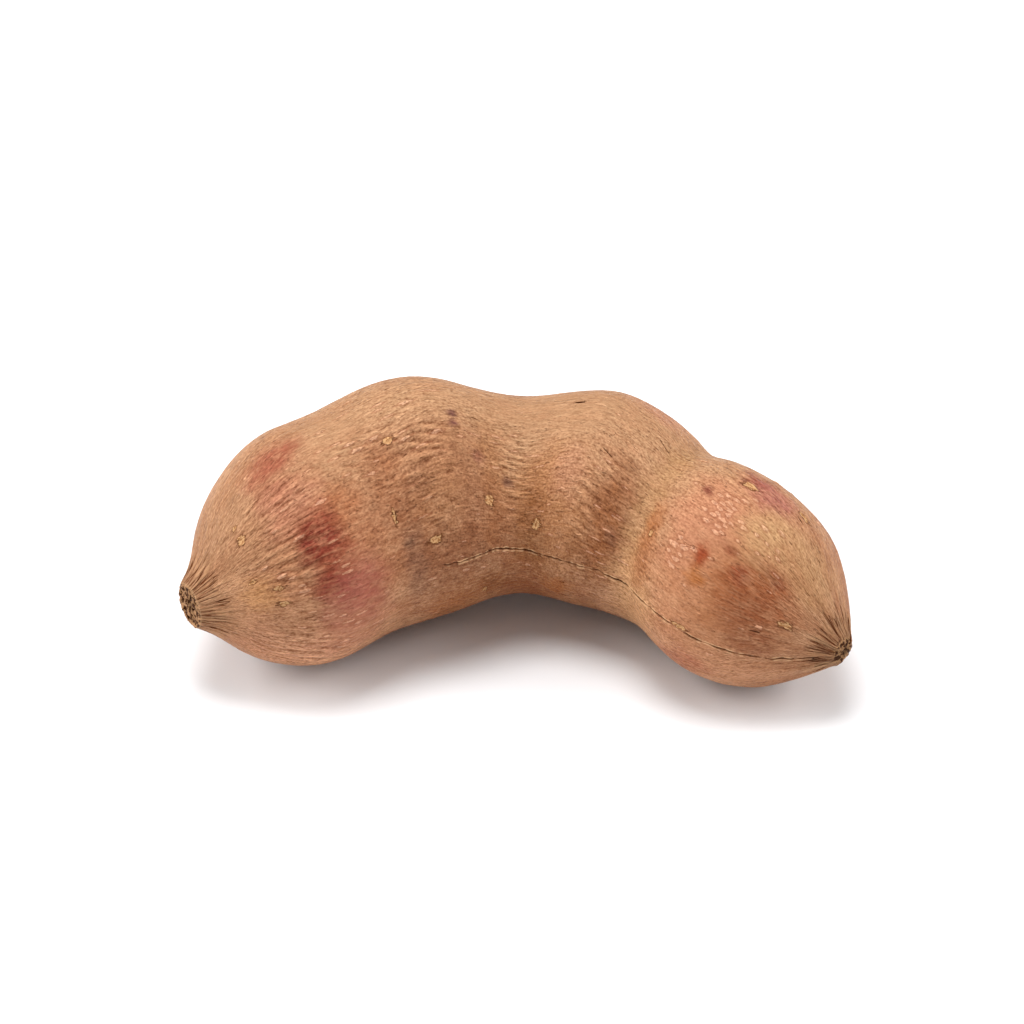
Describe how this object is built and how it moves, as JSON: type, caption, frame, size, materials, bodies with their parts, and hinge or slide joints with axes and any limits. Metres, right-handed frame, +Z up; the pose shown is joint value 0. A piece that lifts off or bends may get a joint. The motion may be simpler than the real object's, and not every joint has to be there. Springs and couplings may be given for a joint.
{
  "type": "tamarind pod",
  "caption": "Ripe tamarind pod, closed: a curved brown shell that swells over its seeds, with a corky stem scar at one end and a small blossom tip at the other.",
  "frame": {"origin": "on the ground, under the middle of the pod's box", "axes": "+X along the chord of the bend, from the stem scar to the blossom tip; +Y to the outer side of the bend; +Z up, with the pod lying on its side"},
  "size_m": [0.081, 0.0426, 0.0303],
  "materials": {
    "pod_shell": "dry, matt, scurfy brown shell with red-brown blushes"
  },
  "bodies": {
    "root": {"pod": "pod_shell"}
  },
  "joints": []
}
